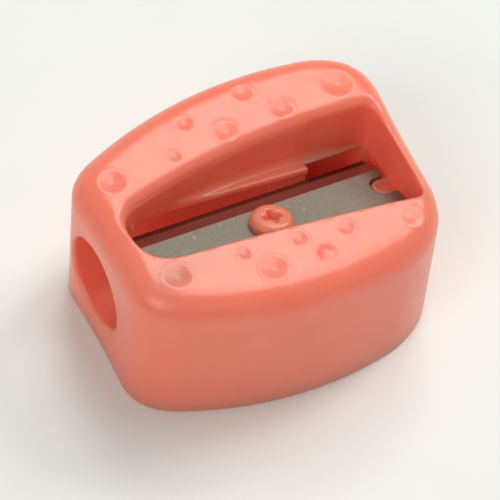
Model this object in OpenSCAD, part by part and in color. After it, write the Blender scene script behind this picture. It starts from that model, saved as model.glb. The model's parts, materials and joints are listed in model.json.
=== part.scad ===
// Single-hole pencil sharpener: a moulded housing that narrows towards the
// pencil hole, a ground blade lying in a window on top, and the screw that
// holds the blade down.

/* [Housing] */
// Length of the housing along the pencil
body_length = 30; // [29.5:0.5:32]
// Width of the housing at the pencil end, before the sides bulge
mouth_width = 14.8; // [14.4:0.1:16]
// Width of the housing at the tip end, before the sides bulge
tip_width = 20.4; // [20:0.1:22]
// How far each long side bulges outwards
side_bulge = 3.4; // [3:0.1:4]
// How far each end is hollowed for the fingers
end_hollow = 0.4; // [0:0.1:0.8]
// Height at the pencil end
mouth_height = 15.1; // [15:0.1:16.5]
// Height at the tip end
tip_height = 14.2; // [14:0.1:16]
// Radius of the edge round the top face
top_radius = 2.3; // [1.5:0.1:2.5]
// Draft of the side walls, in degrees
wall_draft = 1.8; // [0.5:0.1:2]

/* [Pencil hole] */
// Radius of the round guide that a pencil enters
guide_radius = 4.1; // [3.9:0.05:4.2]
// Length of the round guide before the cone begins
guide_length = 3.5; // [3:0.1:4]
// Distance of the hole's centre from the middle of the end, to the back
guide_side = 1.25; // [1:0.05:1.5]
// Height of the hole's centre above the underside
guide_height = 7.2; // [7:0.1:7.5]

/* [Blade] */
// Length of the blade
blade_length = 24.4; // [23.6:0.2:24.6]
// Width of the blade from its back to its cutting edge
blade_width = 7.8; // [7.6:0.1:8]
// Thickness of the blade
blade_thick = 0.6; // [0.4:0.05:0.7]
// Width of the ground bevel along the cutting edge
bevel_width = 2.05; // [1.2:0.05:2.4]
// Radius of the locating notch in each end of the blade
notch_radius = 1.15; // [1.05:0.05:1.3]

/* [Screw] */
// Radius of the screw head
head_radius = 1.9; // [1.7:0.05:2]
// Height of the screw head
head_height = 1.1; // [1:0.05:1.4]
// Radius of the screw's shank
shank_radius = 1.25; // [1.1:0.05:1.3]
// Length of the shank below the blade
shank_length = 5; // [4:0.1:5.5]

/* [Hidden] */

plastic = [1.0, 0.56, 0.46];
steel = [0.62, 0.62, 0.58];

// the right end of the housing is cut a little askew
end_skew = 1.1;
corner_mouth = 3.2;
corner_tip = 5.6;
foot_radius = 0.4;
side_steps = 14;
corner_steps = 8;
round_steps = 6;

// the blade's seat: its centre and its turns about X, Y and Z
seat_centre = [15.2, -1.75, 10.4];
seat_turn = [-12, 8, 2];
// the pocket floor round the seat stands a little above it
floor_rise = 0.7;
// play of the blade in its seat, and how far one turn of the screw frees it
seat_play = 0.15;
thread_pitch = 0.7;
// gap between faces that only rest on each other
rest_gap = 0.02;
// running clearance of the shank in its holes, and how far the screw's line
// lies from the blade's middle, to its back
shank_play = 0.07;
screw_side = 0.45;

// the cone's apex, on the line of the cutting edge
apex_along = 9.2;
apex = seat_point([apex_along, blade_width/2, 0]);
mouth = [end_hollow, guide_side, guide_height];
cone_length = norm(apex - mouth);
tip_radius = 0.35;
pencil_turn = [0, acos((apex - mouth)[2]/cone_length), atan2((apex - mouth)[1], (apex - mouth)[0])];

// chip slot beside the cutting edge: its near side, the ends of its far edge,
// and its depth, all measured on the seat
slot_near = 3.2;
slot_mouth_end = -10.5;
slot_start = [-9.2, 5.45];
slot_end = [6.9, 4.5];
slot_depth = 1.6;
// open chamber round the pencil's point, from the end of the slot to the wall
chamber_near = 2.6;
chamber_far = 5.2;
chamber_depth = 5.5;
// from here down the chamber widens, below the window's far and right walls
cavity_top = 0.45;
cavity_far = 7;
cavity_end = 13;
// past the window's right wall, as measured on the seat
past_wall = 15;

// end notches of the blade, and the nubs that stand in them, a little to the
// blade's back
notch_depth = 1.9;
notch_centre = blade_length/2 - notch_depth + notch_radius;
notch_side = 0.2;
nub_radius = notch_radius - 0.2;
nub_side = 0.3;
nub_height = 0.45;

// outline of the window in the top face
window_corners = [[3.1, -3.6], [27.3, -6.6], [28.0, 4.0], [3.1, 1.95]];
window_bulges = [-0.25, 0, 1.3, 0.05];
window_cuts = [3.2, 1.2, 1.0, 2.2];

// ---- outlines ----

// a point part of the way along a bulging side
function side_point(a, b, bulge, t) =
    let (d = b - a, out = [d[1], -d[0]]/norm(d))
    a + d*t + out*4*bulge*t*(1 - t);

// a point on the curve that rounds a corner
function corner_point(a, corner, b, t) =
    a*(1 - t)*(1 - t) + corner*2*t*(1 - t) + b*t*t;

// a closed outline of four bulging sides with rounded corners; cuts are the
// lengths that each corner's rounding takes from its two sides
function outline(corners, bulges, cuts) = [
    for (k = [0:3])
    let (a = corners[k], b = corners[(k + 1)%4], c = corners[(k + 2)%4],
         span = norm(b - a), next = norm(c - b),
         start = cuts[k]/span, stop = 1 - cuts[(k + 1)%4]/span,
         leave = side_point(a, b, bulges[k], stop),
         enter = side_point(b, c, bulges[(k + 1)%4], cuts[(k + 1)%4]/next))
    each concat(
        [for (i = [0:side_steps - 1])
            side_point(a, b, bulges[k], start + (stop - start)*i/side_steps)],
        [for (i = [0:corner_steps - 1])
            corner_point(leave, b, enter, i/corner_steps)])
];

// the housing's outline, drawn in by inset
function body_outline(inset) =
    let (x0 = inset, x1 = body_length - inset,
         y0 = mouth_width/2 - inset, y1 = tip_width/2 - inset)
    outline([[x0, -y0], [x1 - end_skew, -y1], [x1 + end_skew, y1], [x0, y0]],
            [side_bulge, -end_hollow, side_bulge, -end_hollow],
            [corner_mouth - inset, corner_tip - inset, corner_tip - inset, corner_mouth - inset]);

function top_z(x) = mouth_height + (tip_height - mouth_height)*x/body_length;
function draft_inset(z) = z*tan(wall_draft);

// one ring of the housing's skin: drawn in by inset, drop below the top face
function top_ring(inset, drop) =
    [for (q = body_outline(inset + draft_inset(tip_height))) [q[0], q[1], top_z(q[0]) - drop]];
function foot_ring(inset, z) = [for (q = body_outline(inset)) [q[0], q[1], z]];

function body_rings() = concat(
    [foot_ring(foot_radius, 0), foot_ring(0, foot_radius)],
    [for (k = [0:round_steps])
        let (a = 90*k/round_steps)
        top_ring(top_radius*(1 - cos(a)), top_radius*(1 - sin(a)))]);

// ---- placing ----

// shapes are drawn with X = 0 at the pencil end, then moved so that the origin
// is under the middle of the housing
outline_x = [for (q = body_outline(0)) q[0]];
middle_x = (min(outline_x) + max(outline_x))/2;
module to_origin() {
    translate([-middle_x, 0, 0]) children();
}

function turn_x(p, a) = [p[0], p[1]*cos(a) - p[2]*sin(a), p[1]*sin(a) + p[2]*cos(a)];
function turn_y(p, a) = [p[0]*cos(a) + p[2]*sin(a), p[1], -p[0]*sin(a) + p[2]*cos(a)];
function turn_z(p, a) = [p[0]*cos(a) - p[1]*sin(a), p[0]*sin(a) + p[1]*cos(a), p[2]];
// where a point given on the seat lies in the housing
function seat_point(p) =
    seat_centre + turn_z(turn_y(turn_x(p, seat_turn[0]), seat_turn[1]), seat_turn[2]);

// X along the blade to the tip, Y to the cutting edge, Z out of the seat
module on_seat() {
    translate(seat_centre) rotate(seat_turn) children();
}

// Z along the pencil, from the mouth towards its tip
module along_pencil() {
    translate(mouth) rotate(pencil_turn) children();
}

// ---- housing ----

// closed skin through a stack of rings, with a fan of triangles at each end
module skin(rings) {
    n = len(rings[0]);
    last = len(rings) - 1;
    bottom = (last + 1)*n;
    top = bottom + 1;
    fan_x = body_length/2;
    polyhedron(
        points = concat([for (ring = rings) each ring],
                        [[fan_x, 0, 0], [fan_x, 0, top_z(fan_x)]]),
        faces = concat(
            [for (i = [0:n - 1]) [i, (i + 1)%n, bottom]],
            [for (k = [0:last - 1], i = [0:n - 1])
                let (j = (i + 1)%n)
                each [[k*n + i, (k + 1)*n + i, k*n + j],
                      [k*n + j, (k + 1)*n + i, (k + 1)*n + j]]],
            [for (i = [0:n - 1]) [last*n + (i + 1)%n, last*n + i, top]]));
}

// window in the top: down to the floor round the seat, with the chip slot, the
// chamber and the seat's open end sunk in that floor
module window() {
    reach = 2*body_length;
    intersection() {
        linear_extrude(body_length) polygon(outline(window_corners, window_bulges, window_cuts));
        on_seat() {
            translate([-reach/2, -reach/2, floor_rise]) cube(reach);
            chip_slot();
            tip_chamber();
            seat_end();
        }
    }
}

// flat recess that the blade lies in, tall enough for the blade to lift
module seat_recess() {
    rise = blade_thick + thread_pitch + seat_play;
    length = blade_length + 2*seat_play;
    on_seat() translate([-length/2, -blade_width/2 - seat_play, 0])
        cube([length, blade_width + 2*seat_play, rise]);
}

// the seat runs on past the blade's right end to the window's wall
module seat_end() {
    translate([0, -blade_width/2 - seat_play, 0])
        cube([past_wall, blade_width + 2*seat_play, 2*floor_rise]);
}

// slot between the cutting edge and the far edge, narrowed at its mouth end
module chip_slot() {
    step = slot_start[1] - slot_near;
    translate([0, 0, -slot_depth]) linear_extrude(slot_depth + 2*floor_rise)
        polygon([[slot_mouth_end, slot_near], [slot_mouth_end, slot_near + 0.6*step],
                 slot_start, slot_end, [slot_end[0], slot_near]]);
}

module tip_chamber() {
    translate([slot_end[0], chamber_near, -chamber_depth])
        cube([past_wall - slot_end[0], chamber_far - chamber_near, chamber_depth + 2*floor_rise]);
}

// the chamber's wider part, under the far wall
module tip_cavity() {
    translate([slot_end[0], chamber_near, -chamber_depth])
        cube([cavity_end - slot_end[0], cavity_far - chamber_near, chamber_depth + cavity_top]);
}

// round guide and cone that the pencil turns in
module pencil_hole() {
    overrun = 3;
    along_pencil() {
        translate([0, 0, -overrun]) cylinder(r = guide_radius, h = guide_length + overrun);
        translate([0, 0, guide_length])
            cylinder(r1 = guide_radius, r2 = tip_radius, h = cone_length - guide_length);
    }
}

// plain hole for the shank, through the blade or into the housing
module screw_hole() {
    overrun = 0.5;
    translate([0, -screw_side, -shank_length - overrun])
        cylinder(r = shank_radius + shank_play, h = shank_length + 2*(overrun + blade_thick));
}

// upright prism with a half-round end, open or joined on at side's end
module half_round(side, radius, reach, height) {
    cylinder(r = radius, h = height);
    translate([side > 0 ? 0 : -reach, -radius, 0]) cube([reach, 2*radius, height]);
}

// boss that stands in the blade's end notch
module nub(side) {
    reach = 1.6;
    sink = 0.4;
    on_seat() translate([side*notch_centre, -nub_side, -sink])
        half_round(side, nub_radius, reach, nub_height + sink);
}

module housing() {
    color(plastic) to_origin() {
        difference() {
            skin(body_rings());
            window();
            seat_recess();
            pencil_hole();
            on_seat() {
                screw_hole();
                tip_cavity();
            }
        }
        for (side = [-1, 1]) nub(side);
    }
}

// ---- blade ----

// the blade's cross-section, drawn out along its length: a wide ground bevel,
// and a steeper honed one at the cutting edge
module blade_blank() {
    land = 0.04;
    w = blade_width/2;
    honed = [w - 0.38*bevel_width, 0.55*blade_thick];
    translate([-blade_length/2, 0, 0]) rotate([90, 0, 90])
        linear_extrude(blade_length)
            polygon([[-w, 0], [w, 0], [w, land], honed, [w - bevel_width, blade_thick],
                     [-w, blade_thick]]);
}

// half-round notch, open to the end
module end_notch(side) {
    through = 2*blade_thick;
    translate([side*notch_centre, -notch_side, -through/2])
        half_round(side, notch_radius, notch_depth, blade_thick + through);
}

module blade() {
    color(steel) to_origin() on_seat() translate([0, 0, rest_gap]) difference() {
        blade_blank();
        screw_hole();
        for (side = [-1, 1]) end_notch(side);
    }
}

// ---- screw ----

// half of the head's outline: a straight side, a rounded edge and a low crown
function head_profile(edge, crown, steps) = concat(
    [[0, 0], [head_radius, 0]],
    [for (k = [0:steps])
        let (a = 90*k/steps)
        [head_radius - edge*(1 - cos(a)), head_height - crown - edge*(1 - sin(a))]],
    [[0, head_height]]);

module drive_recess() {
    arm = 2.1;
    arm_width = 0.7;
    depth = 0.8;
    for (turn = [-7, 83]) rotate(turn)
        translate([-arm/2, -arm_width/2, head_height - depth]) cube([arm, arm_width, depth + 1]);
}

module screw() {
    point = 0.6;
    lift = blade_thick + 2*rest_gap;
    color(plastic) to_origin() on_seat() translate([0, -screw_side, lift]) {
        difference() {
            rotate_extrude() polygon(head_profile(0.55, 0.12, 8));
            drive_recess();
        }
        translate([0, 0, -shank_length]) cylinder(r = shank_radius, h = shank_length);
        translate([0, 0, -shank_length - point])
            cylinder(r1 = shank_radius/2, r2 = shank_radius, h = point);
    }
}

housing();
blade();
screw();
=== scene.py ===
"""Pencil sharpener: a coral plastic housing with a soft moulded skin, its ground steel blade and its
blade screw, on a pale floor under soft light. Sizes are in millimetres until they reach Blender."""

import json
import math

import bpy
import numpy as np
import openvdb
from mathutils import Matrix, Vector


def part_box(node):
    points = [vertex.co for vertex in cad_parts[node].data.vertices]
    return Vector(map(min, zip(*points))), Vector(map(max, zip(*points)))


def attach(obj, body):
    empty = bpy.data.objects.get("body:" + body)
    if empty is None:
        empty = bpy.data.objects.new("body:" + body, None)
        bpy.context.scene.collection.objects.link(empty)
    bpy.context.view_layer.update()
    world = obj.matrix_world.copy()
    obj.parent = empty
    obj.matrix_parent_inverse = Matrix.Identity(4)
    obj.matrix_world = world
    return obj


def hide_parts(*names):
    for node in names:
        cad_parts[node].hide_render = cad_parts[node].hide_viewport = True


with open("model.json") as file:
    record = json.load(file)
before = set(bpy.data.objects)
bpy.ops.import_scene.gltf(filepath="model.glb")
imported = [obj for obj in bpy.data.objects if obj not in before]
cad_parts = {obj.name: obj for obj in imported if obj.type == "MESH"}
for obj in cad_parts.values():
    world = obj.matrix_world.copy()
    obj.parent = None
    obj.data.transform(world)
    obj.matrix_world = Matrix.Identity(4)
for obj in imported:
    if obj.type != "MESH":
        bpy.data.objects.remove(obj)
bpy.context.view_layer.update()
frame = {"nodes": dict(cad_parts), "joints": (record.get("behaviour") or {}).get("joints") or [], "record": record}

MM = 0.001

# ---- housing sizes, as the CAD model has them ----

BODY_LENGTH = 30.0
MOUTH_WIDTH = 14.8
TIP_WIDTH = 20.4
SIDE_BULGE = 3.4
END_HOLLOW = 0.4
END_SKEW = 1.1
CORNER_MOUTH = 3.2
CORNER_TIP = 5.6
MOUTH_HEIGHT = 15.1
TIP_HEIGHT = 14.2
WALL_DRAFT = math.radians(1.8)
TOP_RADIUS = 2.3
FOOT_RADIUS = 0.4

GUIDE_RADIUS = 4.1
GUIDE_LENGTH = 3.5
TIP_RADIUS = 0.35
APEX_ALONG = 9.2

BLADE_LENGTH = 24.4
BLADE_WIDTH = 7.8
BLADE_THICK = 0.6
BLADE_HEADING = math.radians(2)
SEAT_PLAY = 0.15
BLADE_TRAVEL = 0.7
FLOOR_RISE = 0.7

SLOT_NEAR = 3.2
SLOT_MOUTH_END = -10.5
SLOT_START = (-9.2, 5.45)
SLOT_END = (6.9, 4.5)
SLOT_DEPTH = 1.6
# how steeply the slot's side runs back to its start
SLOT_CORNER_SLOPE = 0.7
CHAMBER_NEAR = 2.6
CHAMBER_FAR = 5.2
CHAMBER_DEPTH = 5.5
CAVITY_TOP = 0.45
CAVITY_FAR = 7.0
CAVITY_END = 13.0
NUB_RADIUS = 0.95
NUB_CENTRE = 11.45
NUB_SIDE = -0.3
NUB_LENGTH = 1.6
NUB_FOOT = 0.4
NUB_HEIGHT = 0.3
NUB_RIM = 0.3
# the nub's rim rises between these distances to its outline, which are negative inside it
NUB_RIM_SPAN = (-0.55, -0.2)

SCREW_SIDE = 0.45
HEAD_RADIUS = 1.9
HEAD_HEIGHT = 1.1
# the two plays of 0.02 under the blade and under the head
HEAD_PLAY = 0.04
CROWN_RADIUS = 9.0
SHANK_RADIUS = 1.25
SHANK_HOLE = 1.32
# the shank, as measured from the underside of the head
SHANK_BELOW_HEAD = 5.5
SHANK_INTO_HEAD = 0.3
DRIVE_TURN = math.radians(-7)
DRIVE_ARM = 0.55
DRIVE_HALF_WIDTH = 0.36
DRIVE_DEPTH = 0.8
DRIVE_TAPER = 0.3

# ---- soft edges of the moulding ----

RIM_NEAR = 0.3
RIM_FAR = 1.1
RIM_TIP = 0.4
FLOOR_FILLET_FAR = 0.75
FLOOR_FILLET = 0.3
CREST_RADIUS = 0.14
MOUTH_EDGE = 0.35
INNER_EDGE = 0.06
NUB_EDGE = 0.14
NUB_FILLET = 0.1
HEAD_EDGE = 0.6
HEAD_FOOT_EDGE = 0.08
DRIVE_EDGE = 0.22
DRIVE_FILLET = 0.2

# stretches over which the edges change: to the far side and to the tip end, the
# far corner of the tip end, and the depth of the pencil hole
TO_FAR_SIDE = (-1, 2.5)
TO_TIP_END = (23.5, 26.5)
TO_FAR_CORNER = (1, 3.5)
PAST_MOUTH = (0.6, 2.2)

# dimples in the top face: place from the pencil end, place across, radius
DIMPLES = [
    (26.2, 6.8, 1.6),
    (18.2, 9.1, 1.0),
    (20.5, 6.2, 1.1),
    (15.0, 5.9, 1.15),
    (12.2, 8.1, 0.85),
    (9.9, 5.3, 0.65),
    (4.0, 5.0, 1.3),
    (4.7, -5.6, 1.25),
    (12.1, -8.0, 1.25),
    (25.0, -8.2, 1.05),
    (15.3, -6.3, 0.8),
    (19.4, -6.9, 0.8),
    (10.6, -5.8, 0.6),
]
# a dimple's depth and width and its rim's height, place and width, all times its radius
DIMPLE_DEPTH = 0.12
DIMPLE_SPREAD = 0.55
RING_HEIGHT = 0.03
RING_PLACE = 0.95
RING_SPREAD = 0.2
# a small bump among them, its height and how steeply it falls off
BUMP = (16.6, -8.4, 0.75)
BUMP_HEIGHT = 0.18
BUMP_FALL = 1.6


# ---- outlines ----


def side_point(a, b, bulge, t):
    """A point part of the way along a bulging side."""
    along = b - a
    out = np.array([along[1], -along[0]]) / np.linalg.norm(along)
    return a + along * t + out * 4 * bulge * t * (1 - t)


def outline(corners, bulges, cuts, side_steps=20, corner_steps=12):
    """A closed outline of four bulging sides whose corners are rounded by quadratic curves."""
    corners = [np.array(c, float) for c in corners]
    points = []
    for k in range(4):
        a, b, c = corners[k], corners[(k + 1) % 4], corners[(k + 2) % 4]
        start = cuts[k] / np.linalg.norm(b - a)
        stop = 1 - cuts[(k + 1) % 4] / np.linalg.norm(b - a)
        for i in range(side_steps):
            points.append(side_point(a, b, bulges[k], start + (stop - start) * i / side_steps))
        leave = side_point(a, b, bulges[k], stop)
        enter = side_point(b, c, bulges[(k + 1) % 4], cuts[(k + 1) % 4] / np.linalg.norm(c - b))
        for i in range(corner_steps):
            t = i / corner_steps
            points.append(leave * (1 - t) ** 2 + b * 2 * t * (1 - t) + enter * t**2)
    return np.array(points)


def outline_distance(x, y, points):
    """Signed distance to a closed outline, negative inside it."""
    nearest = np.full(x.shape, 1e9, np.float32)
    inside = np.zeros(x.shape, bool)
    for (ax, ay), (bx, by) in zip(points, np.roll(points, -1, axis=0), strict=True):
        ex, ey = bx - ax, by - ay
        px, py = x - ax, y - ay
        t = np.clip((px * ex + py * ey) / (ex * ex + ey * ey), 0, 1)
        nearest = np.minimum(nearest, (px - ex * t) ** 2 + (py - ey * t) ** 2)
        crosses = (ay > y) != (by > y)
        inside ^= crosses & (px < ex * (y - ay) / (ey if ey else 1e-9))
    return np.where(inside, -1, 1) * np.sqrt(nearest)


# ---- the seat and the pencil's line, from the frame ----

mounts = {m["name"]: m for m in frame["record"]["mounts"]}
joints = {j["name"]: j for j in frame["joints"]}
SCREW = np.array(joints["screw_turn"]["pos_m"]) / MM
SEAT_UP = np.array(joints["screw_turn"]["axis"])
heading = np.array([math.cos(BLADE_HEADING), math.sin(BLADE_HEADING), 0])
heading[2] = -(heading @ SEAT_UP) / SEAT_UP[2]
SEAT_ALONG = heading / np.linalg.norm(heading)
SEAT_ACROSS = np.cross(SEAT_UP, SEAT_ALONG)
SEAT = SCREW + SEAT_ACROSS * SCREW_SIDE

APEX = SEAT + SEAT_ALONG * APEX_ALONG + SEAT_ACROSS * BLADE_WIDTH / 2
PENCIL = -np.array(mounts["pencil_hole"]["axis"])
body_corners = [
    (0, -MOUTH_WIDTH / 2),
    (BODY_LENGTH - END_SKEW, -TIP_WIDTH / 2),
    (BODY_LENGTH + END_SKEW, TIP_WIDTH / 2),
    (0, MOUTH_WIDTH / 2),
]
body_outline = outline(
    body_corners,
    [SIDE_BULGE, -END_HOLLOW, SIDE_BULGE, -END_HOLLOW],
    [CORNER_MOUTH, CORNER_TIP, CORNER_TIP, CORNER_MOUTH],
)
MIDDLE_X = (body_outline[:, 0].min() + body_outline[:, 0].max()) / 2
window_corners = [(3.1, -3.6), (27.3, -6.6), (28.0, 4.0), (3.1, 1.95)]
window_bulges = [-0.25, 0, 1.3, 0.05]
window_cuts = [3.2, 1.2, 1.0, 2.2]
window_outline = outline(window_corners, window_bulges, window_cuts)
CONE_LENGTH = (APEX[0] - (END_HOLLOW - MIDDLE_X)) / PENCIL[0]
MOUTH = APEX - PENCIL * CONE_LENGTH


def soft_max(a, b, radius):
    """What two shapes share, with the edge between them rounded."""
    inner = np.hypot(np.maximum(a + radius, 0), np.maximum(b + radius, 0))
    return np.minimum(np.maximum(a, b), -radius) + inner


def soft_min(a, b, radius):
    """Two shapes joined, with a fillet between them."""
    outer = np.hypot(np.maximum(radius - a, 0), np.maximum(radius - b, 0))
    return np.maximum(np.minimum(a, b), radius) - outer


def smooth_step(low, high, value):
    t = np.clip((value - low) / (high - low), 0, 1)
    return t * t * (3 - 2 * t)


def top_relief(x, y):
    """How far the dimples sink the top face, with a low rim round each, and the bump's height."""
    sink = 0
    for place, side, radius in DIMPLES:
        reach = np.hypot(x - place, y - side) / radius
        sink = sink + DIMPLE_DEPTH * radius * np.exp(-((reach / DIMPLE_SPREAD) ** 2))
        sink = sink - RING_HEIGHT * radius * np.exp(-(((reach - RING_PLACE) / RING_SPREAD) ** 2))
    reach = np.hypot(x - BUMP[0], y - BUMP[1]) / BUMP[2]
    return sink - BUMP_HEIGHT * np.exp(-(reach**2) * BUMP_FALL)


def seat_place(x, y, z):
    """Where points lie on the seat: along the blade, across to its edge, and above the seat."""
    dx, dy, dz = x - SEAT[0], y - SEAT[1], z - SEAT[2]
    return [dx * a[0] + dy * a[1] + dz * a[2] for a in (SEAT_ALONG, SEAT_ACROSS, SEAT_UP)]


def chip_slot(along, across, up):
    """Distance to the slot beside the cutting edge, negative inside it."""
    slope = (SLOT_END[1] - SLOT_START[1]) / (SLOT_END[0] - SLOT_START[0])
    far = (across - SLOT_START[1] - slope * (along - SLOT_START[0])) / math.hypot(1, slope)
    corner = across - SLOT_START[1] - SLOT_CORNER_SLOPE * (along - SLOT_START[0])
    corner = corner / math.hypot(1, SLOT_CORNER_SLOPE)
    side = np.maximum(np.maximum(SLOT_NEAR - across, far), corner)
    ends = np.maximum(SLOT_MOUTH_END - along, along - SLOT_END[0])
    return np.maximum(np.maximum(side, ends), -SLOT_DEPTH - up)


def tip_chamber(along, across, up):
    """Distance to the open chamber round the pencil's point."""
    side = np.maximum(CHAMBER_NEAR - across, across - CHAMBER_FAR)
    return np.maximum(np.maximum(SLOT_END[0] - along, side), -CHAMBER_DEPTH - up)


def tip_cavity(along, across, up):
    """Distance to the chamber's wider part, under the window's far wall."""
    ends = np.maximum(SLOT_END[0] - along, along - CAVITY_END)
    side = np.maximum(CHAMBER_NEAR - across, across - CAVITY_FAR)
    return np.maximum(np.maximum(ends, side), np.maximum(-CHAMBER_DEPTH - up, up - CAVITY_TOP))


def seat_recess(along, across, up):
    """Distances to the flat recess that the blade lies in, and to its run past the blade's right end."""
    ends = np.abs(along) - BLADE_LENGTH / 2 - SEAT_PLAY
    sides = np.abs(across) - BLADE_WIDTH / 2 - SEAT_PLAY
    rise = BLADE_THICK + BLADE_TRAVEL + SEAT_PLAY
    recess = np.maximum(np.maximum(ends, sides), np.abs(up - rise / 2) - rise / 2)
    return recess, np.maximum(np.maximum(sides, -along), -up)


def pencil_hole(x, y, z):
    """Distance to the round guide and the cone, and how far along the pencil each point is."""
    dx, dy, dz = x - MOUTH[0], y - MOUTH[1], z - MOUTH[2]
    along = dx * PENCIL[0] + dy * PENCIL[1] + dz * PENCIL[2]
    radius = np.sqrt(np.maximum(dx * dx + dy * dy + dz * dz - along * along, 1e-8))
    slope = (GUIDE_RADIUS - TIP_RADIUS) / (CONE_LENGTH - GUIDE_LENGTH)
    cone = (radius - GUIDE_RADIUS + slope * (along - GUIDE_LENGTH)) / math.hypot(1, slope)
    return np.maximum(np.maximum(radius - GUIDE_RADIUS, cone), along - CONE_LENGTH), along


def housing_field(x, y, z, body_side, window_side):
    """Signed distance to the housing, negative in the plastic. The last two values are the distances to
    the body's and the window's outlines, which don't change with height."""
    from_end = x + MIDDLE_X
    slope = (TIP_HEIGHT - MOUTH_HEIGHT) / BODY_LENGTH
    top = (z - MOUTH_HEIGHT - slope * from_end) / math.hypot(1, slope) + top_relief(from_end, y)
    body = soft_max(body_side + z * math.tan(WALL_DRAFT), top, TOP_RADIUS)
    body = soft_max(body, -z, FOOT_RADIUS)

    along, across, up = seat_place(x, y, z)
    far = smooth_step(*TO_FAR_SIDE, y)
    at_tip = smooth_step(*TO_TIP_END, from_end)
    rim = RIM_NEAR + (RIM_FAR - RIM_NEAR) * far
    rim = rim + (RIM_TIP - rim) * at_tip * (1 - smooth_step(*TO_FAR_CORNER, y))
    fillet = FLOOR_FILLET + (FLOOR_FILLET_FAR - FLOOR_FILLET) * far * (1 - at_tip)
    surround = soft_min(-window_side, up - FLOOR_RISE, fillet)
    body = soft_max(body, surround, rim)
    recess, recess_end = seat_recess(along, across, up)
    sunk = np.minimum(chip_slot(along, across, up), tip_chamber(along, across, up))
    sunk = np.minimum(sunk, recess_end)
    body = soft_max(body, -np.maximum(sunk, window_side), CREST_RADIUS)
    body = soft_max(body, -recess, INNER_EDGE)
    body = soft_max(body, -tip_cavity(along, across, up), INNER_EDGE)
    hole, depth = pencil_hole(x, y, z)
    edge = INNER_EDGE + MOUTH_EDGE * (1 - smooth_step(*PAST_MOUTH, depth))
    body = soft_max(body, -hole, edge)
    screw_hole = np.hypot(along, across + SCREW_SIDE) - SHANK_HOLE
    body = soft_max(body, -np.maximum(screw_hole, up - 1), INNER_EDGE)

    beyond = np.abs(along) - NUB_CENTRE
    nub = np.hypot(np.minimum(beyond, 0), across - NUB_SIDE) - NUB_RADIUS
    nub = np.maximum(nub, beyond - NUB_LENGTH)
    nub_top = up - NUB_HEIGHT - NUB_RIM * smooth_step(*NUB_RIM_SPAN, nub)
    nub = soft_max(soft_max(nub, nub_top, NUB_EDGE), -NUB_FOOT - up, INNER_EDGE)
    return soft_min(body, nub, NUB_FILLET)


def housing_at(points):
    x, y, z = points.T
    from_end = x + MIDDLE_X
    body_side = outline_distance(from_end, y, body_outline)
    window_side = outline_distance(from_end, y, window_outline)
    return housing_field(x, y, z, body_side, window_side)


def drive_arm(along, across):
    """Distance to one bar of the cross recess, which has round ends."""
    return np.hypot(np.maximum(np.abs(along) - DRIVE_ARM, 0), across) - DRIVE_HALF_WIDTH


def screw_field(x, y, z):
    """Signed distance to the screw: a low head with a cross recess, on a plain shank."""
    along, across, up = seat_place(x, y, z)
    across = across + SCREW_SIDE
    radius = np.hypot(along, across)
    base = BLADE_THICK + HEAD_PLAY
    crown = np.sqrt(radius**2 + (up - base - HEAD_HEIGHT + CROWN_RADIUS) ** 2) - CROWN_RADIUS
    head = soft_max(radius - HEAD_RADIUS, crown, HEAD_EDGE)
    head = soft_max(head, base - up, HEAD_FOOT_EDGE)
    u = along * math.cos(DRIVE_TURN) + across * math.sin(DRIVE_TURN)
    v = across * math.cos(DRIVE_TURN) - along * math.sin(DRIVE_TURN)
    arms = soft_min(drive_arm(u, v), drive_arm(v, u), DRIVE_FILLET)
    taper = DRIVE_TAPER * (base + HEAD_HEIGHT - up)
    recess = np.maximum(arms + taper, base + HEAD_HEIGHT - DRIVE_DEPTH - up)
    head = soft_max(head, -recess, DRIVE_EDGE)
    shank_ends = np.maximum(up - base - SHANK_INTO_HEAD, base - SHANK_BELOW_HEAD - up)
    return np.minimum(head, np.maximum(radius - SHANK_RADIUS, shank_ends))


# ---- meshes from distance fields ----

# how much OpenVDB merges flat facets, and the width of its band in voxels
FLATNESS = 0.01
BAND_VOXELS = 3
# how often each vertex is moved towards the exact surface, and the least slope that a step counts on
SETTLE_PASSES = 3
LEAST_SLOPE = 0.3
# layers of the housing's grid worked out at a time
LAYERS = 8
# room round a piece's box, in voxels
MARGIN_VOXELS = 4


def grid_axes(low, high, voxel):
    return [np.arange(a, b, voxel, dtype=np.float32) for a, b in zip(low, high, strict=True)]


def field_mesh(name, values, low, voxel, field):
    """A mesh on a field's surface: the grid gives the faces, then each vertex is moved onto the exact
    surface and takes its normal from the field."""
    band = BAND_VOXELS * voxel
    grid = openvdb.FloatGrid(band)
    grid.copyFromArray(np.clip(values, -band, band).astype(np.float32))
    points, triangles, quads = grid.convertToPolygons(0.0, FLATNESS)
    points = points.astype(float) * voxel + np.array(low)
    step = voxel / 4
    for _ in range(SETTLE_PASSES):
        value, normal = value_and_normal(field, points, step)
        points = points - normal * np.clip(value, -voxel, voxel)[:, None]
    _, normal = value_and_normal(field, points, step)
    mesh = bpy.data.meshes.new(name)
    faces = quads.tolist() + triangles.tolist()
    mesh.from_pydata((points * MM).tolist(), [], faces)
    mesh.update()
    mesh.polygons.foreach_set("use_smooth", np.ones(len(mesh.polygons), bool))
    mesh.normals_split_custom_set_from_vertices(normal.tolist())
    piece = bpy.data.objects.new(name, mesh)
    bpy.context.scene.collection.objects.link(piece)
    return piece


def value_and_normal(field, points, step):
    """The distance to a field's surface, which is its value over its slope, and its direction."""
    value = field(points)
    slopes = []
    for axis in range(3):
        offset = np.zeros(3)
        offset[axis] = step
        slopes.append((field(points + offset) - field(points - offset)) / (2 * step))
    slope = np.stack(slopes, 1)
    length = np.linalg.norm(slope, axis=1, keepdims=True)
    distance = value / np.maximum(length[:, 0], LEAST_SLOPE)
    return distance, slope / np.maximum(length, 1e-6)


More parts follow.
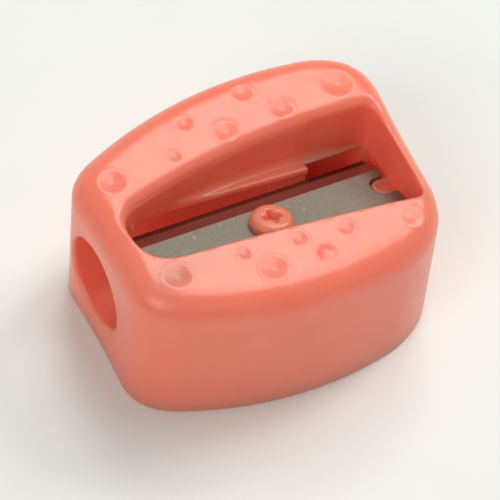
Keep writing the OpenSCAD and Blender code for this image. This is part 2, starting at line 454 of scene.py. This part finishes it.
def make_housing(voxel):
    low, high = [np.array(c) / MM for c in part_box("housing")]
    low, high = low - MARGIN_VOXELS * voxel, high + MARGIN_VOXELS * voxel
    xs, ys, zs = grid_axes(low, high, voxel)
    x, y = np.meshgrid(xs, ys, indexing="ij")
    from_end = x + np.float32(MIDDLE_X)
    body_side = outline_distance(from_end, y, body_outline)[:, :, None]
    window_side = outline_distance(from_end, y, window_outline)[:, :, None]
    values = np.empty((len(xs), len(ys), len(zs)), np.float32)
    for k in range(0, len(zs), LAYERS):
        z = zs[None, None, k : k + LAYERS]
        layers = housing_field(x[:, :, None], y[:, :, None], z, body_side, window_side)
        values[:, :, k : k + LAYERS] = layers
    return field_mesh("housing_shell", values, low, voxel, housing_at)


def make_screw(voxel):
    low, high = [np.array(c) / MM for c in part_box("screw")]
    low, high = low - MARGIN_VOXELS * voxel, high + MARGIN_VOXELS * voxel
    x, y, z = np.meshgrid(*grid_axes(low, high, voxel), indexing="ij")
    return field_mesh("blade_screw", screw_field(x, y, z), low, voxel, lambda p: screw_field(*p.T))


# ---- materials ----

# how squarely a facet faces along SEAT_UP: the flat more than BEVEL_MOST, the honed edge less than
# HONED_MOST, and the blade's sides and underside less than BEVEL_LEAST
BEVEL_MOST = 0.995
HONED_MOST = 0.96
BEVEL_LEAST = 0.5


def new_material(name):
    material = bpy.data.materials.new(name)
    material.use_nodes = True
    nodes = material.node_tree.nodes
    return material, nodes, material.node_tree.links, nodes["Principled BSDF"]


def add_bump(nodes, links, height, strength, distance, base=None):
    bump = nodes.new("ShaderNodeBump")
    bump.inputs["Strength"].default_value = strength
    bump.inputs["Distance"].default_value = distance
    links.new(height, bump.inputs["Height"])
    if base is not None:
        links.new(base, bump.inputs["Normal"])
    return bump.outputs["Normal"]


def noise(nodes, links, scale, detail=3.0, roughness=0.55):
    place = nodes.new("ShaderNodeTexCoord")
    texture = nodes.new("ShaderNodeTexNoise")
    texture.inputs["Scale"].default_value = scale
    texture.inputs["Detail"].default_value = detail
    texture.inputs["Roughness"].default_value = roughness
    links.new(place.outputs["Object"], texture.inputs["Vector"])
    return texture.outputs["Fac"]


def ramp(nodes, links, value, stops):
    node = nodes.new("ShaderNodeValToRGB")
    elements = node.color_ramp.elements
    while len(elements) < len(stops):
        elements.new(0.5)
    for element, (position, colour) in zip(elements, stops, strict=True):
        element.position = position
        element.color = (*colour, 1)
    links.new(value, node.inputs["Fac"])
    return node.outputs["Color"]


def span(nodes, links, value, low, high):
    node = nodes.new("ShaderNodeMapRange")
    node.inputs["To Min"].default_value = low
    node.inputs["To Max"].default_value = high
    links.new(value, node.inputs["Value"])
    return node.outputs["Result"]


def mixed(nodes, links, share, a, b):
    """Colour a where share is 0 and colour b where it is 1."""
    node = nodes.new("ShaderNodeMix")
    node.data_type = "RGBA"
    links.new(share, node.inputs["Factor"])
    for socket, given in ((node.inputs[6], a), (node.inputs[7], b)):
        if isinstance(given, tuple):
            socket.default_value = (*given, 1)
        else:
            links.new(given, socket)
    return node.outputs[2]


def coral_plastic(name):
    """Translucent coral moulding plastic: satin, faintly uneven in colour and surface."""
    material, nodes, links, shader = new_material(name)
    cloud = noise(nodes, links, 220, 4)
    colour = ramp(nodes, links, cloud, [(0.3, (0.95, 0.215, 0.135)), (0.7, (0.98, 0.24, 0.155))])
    links.new(colour, shader.inputs["Base Color"])
    links.new(span(nodes, links, noise(nodes, links, 900, 5), 0.24, 0.38), shader.inputs["Roughness"])
    shader.inputs["IOR"].default_value = 1.57
    shader.inputs["Subsurface Weight"].default_value = 0.8
    shader.inputs["Subsurface Radius"].default_value = (1.0, 0.12, 0.07)
    shader.inputs["Subsurface Scale"].default_value = 5 * MM
    broad = add_bump(nodes, links, noise(nodes, links, 350, 2), 0.12, 0.05 * MM)
    fine = add_bump(nodes, links, noise(nodes, links, 5000, 4), 0.1, 0.01 * MM, broad)
    links.new(fine, shader.inputs["Normal"])
    return material


def maths(nodes, links, operation, a, b):
    """One arithmetic node on a value and a value or number."""
    node = nodes.new("ShaderNodeMath")
    node.operation = operation
    for socket, given in zip(node.inputs, (a, b), strict=False):
        if isinstance(given, (int, float)):
            socket.default_value = given
        else:
            links.new(given, socket)
    return node.outputs["Value"]


def on_bevel(nodes, links):
    """Two masks, told by which way a facet faces: the blade's bevel, and its steeper honed edge, where a painted
    dark reflection of shade goes.
    """
    geometry = nodes.new("ShaderNodeNewGeometry")
    facing = nodes.new("ShaderNodeVectorMath")
    facing.operation = "DOT_PRODUCT"
    facing.inputs[1].default_value = SEAT_UP
    links.new(geometry.outputs["True Normal"], facing.inputs[0])
    tilted = maths(nodes, links, "LESS_THAN", facing.outputs["Value"], BEVEL_MOST)
    upwards = maths(nodes, links, "GREATER_THAN", facing.outputs["Value"], BEVEL_LEAST)
    honed = maths(nodes, links, "LESS_THAN", facing.outputs["Value"], HONED_MOST)
    return maths(nodes, links, "MULTIPLY", tilted, upwards), honed


def ground_steel(name):
    """Dull grey steel with a mottled flat, a few light nicks and a smoother bevel, whose steeper honed edge is
    painted dark as a painted reflection of shade.
    """
    material, nodes, links, shader = new_material(name)
    bevel, honed = on_bevel(nodes, links)
    # the honed edge's dark colour is a painted reflection of shade, not the steel's own colour
    bevel_with_painted_dark_edge = mixed(nodes, links, honed, (0.36, 0.34, 0.29), (0.14, 0.13, 0.12))
    grain = noise(nodes, links, 3500, 6, 0.7)
    flat = ramp(nodes, links, grain, [(0.3, (0.215, 0.21, 0.17)), (0.7, (0.305, 0.3, 0.245))])
    specks = noise(nodes, links, 1300, 2, 0.4)
    nicks = ramp(nodes, links, specks, [(0.7, (0, 0, 0)), (0.82, (1, 1, 1))])
    flat = mixed(nodes, links, nicks, flat, (0.48, 0.48, 0.41))
    links.new(mixed(nodes, links, bevel, flat, bevel_with_painted_dark_edge), shader.inputs["Base Color"])
    bevel_metal = maths(nodes, links, "MULTIPLY", bevel, 0.35)
    links.new(maths(nodes, links, "ADD", bevel_metal, 0.62), shader.inputs["Metallic"])
    rough = span(nodes, links, grain, 0.42, 0.58)
    bevel_rough = maths(nodes, links, "MULTIPLY", bevel, -0.25)
    links.new(maths(nodes, links, "ADD", rough, bevel_rough), shader.inputs["Roughness"])
    links.new(add_bump(nodes, links, grain, 0.35, 0.01 * MM), shader.inputs["Normal"])
    return material


def pale_floor(name):
    material, nodes, links, shader = new_material(name)
    cloud = noise(nodes, links, 60, 3)
    colour = ramp(nodes, links, cloud, [(0.3, (0.83, 0.85, 0.825)), (0.7, (0.86, 0.88, 0.855))])
    links.new(colour, shader.inputs["Base Color"])
    shader.inputs["Roughness"].default_value = 0.7
    return material


# ---- camera, lights and floor ----

LAMP_DISTANCE = 2.0


def make_camera():
    """The camera of the reference view: a long lens above the pencil end, rolled a little."""
    azimuth = math.radians(-32.97)
    elevation = math.radians(55.03)
    roll = math.radians(6.28)
    aim = Vector((13.26 - MIDDLE_X, 0, 5.1))
    distance = 171.73
    slide_x = 1.357
    slide_y = 0.54
    back = Vector((
        math.sin(azimuth) * math.cos(elevation),
        -math.cos(azimuth) * math.cos(elevation),
        math.sin(elevation),
    ))
    level = Vector((math.cos(azimuth), math.sin(azimuth), 0))
    upright = back.cross(level)
    right = level * math.cos(roll) + upright * math.sin(roll)
    up = upright * math.cos(roll) - level * math.sin(roll)
    data = bpy.data.cameras.new("camera")
    data.lens = 144
    data.sensor_width = 36
    data.clip_start = 0.01
    data.clip_end = 10
    camera = bpy.data.objects.new("camera", data)
    place = (aim + right * slide_x + up * slide_y + back * distance) * MM
    turn = Matrix((right, up, back)).transposed().to_4x4()
    camera.matrix_world = Matrix.Translation(place) @ turn
    bpy.context.scene.collection.objects.link(camera)
    bpy.context.scene.camera = camera


def area_light(name, azimuth, elevation, size, power, colour):
    """A round lamp aimed at the object; azimuth is measured from +X towards +Y."""
    a, e = math.radians(azimuth), math.radians(elevation)
    out = Vector((math.cos(a) * math.cos(e), math.sin(a) * math.cos(e), math.sin(e)))
    data = bpy.data.lights.new(name, "AREA")
    data.shape = "DISK"
    data.size = size
    data.energy = power
    data.color = colour
    lamp = bpy.data.objects.new(name, data)
    lamp.location = out * LAMP_DISTANCE
    lamp.rotation_mode = "QUATERNION"
    lamp.rotation_quaternion = out.to_track_quat("Z", "Y")
    bpy.context.scene.collection.objects.link(lamp)


def make_lights():
    world = bpy.data.worlds.new("studio")
    bpy.context.scene.world = world
    world.use_nodes = True
    background = world.node_tree.nodes["Background"]
    background.inputs["Color"].default_value = (0.98, 1.0, 0.97, 1)
    background.inputs["Strength"].default_value = 0.33
    area_light("key", azimuth=14, elevation=45, size=0.7, power=11.5, colour=(1.0, 0.985, 0.965))
    area_light("sheen", azimuth=55, elevation=53, size=0.72, power=8.5, colour=(1.0, 1.0, 0.97))
    area_light("overhead", azimuth=22, elevation=72, size=0.8, power=8.0, colour=(1.0, 1.0, 0.97))
    area_light("fill", azimuth=205, elevation=40, size=1.4, power=11.5, colour=(1.0, 0.99, 0.98))


def make_floor():
    mesh = bpy.data.meshes.new("floor")
    half = 0.6
    corners = [(-half, -half, 0), (half, -half, 0), (half, half, 0), (-half, half, 0)]
    mesh.from_pydata(corners, [], [(0, 1, 2, 3)])
    floor = bpy.data.objects.new("floor", mesh)
    floor.data.materials.append(pale_floor("pale_floor"))
    bpy.context.scene.collection.objects.link(floor)


bpy.context.scene.view_settings.view_transform = "Standard"
make_camera()
make_lights()
make_floor()

housing = make_housing(0.1)
housing.data.materials.append(coral_plastic("coral_plastic"))
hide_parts("housing")
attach(housing, "housing")

screw = make_screw(0.06)
screw.data.materials.append(coral_plastic("screw_plastic"))
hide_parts("screw")
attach(screw, "screw")

blade = frame["nodes"]["blade"]
blade.data.materials.clear()
blade.data.materials.append(ground_steel("ground_steel"))
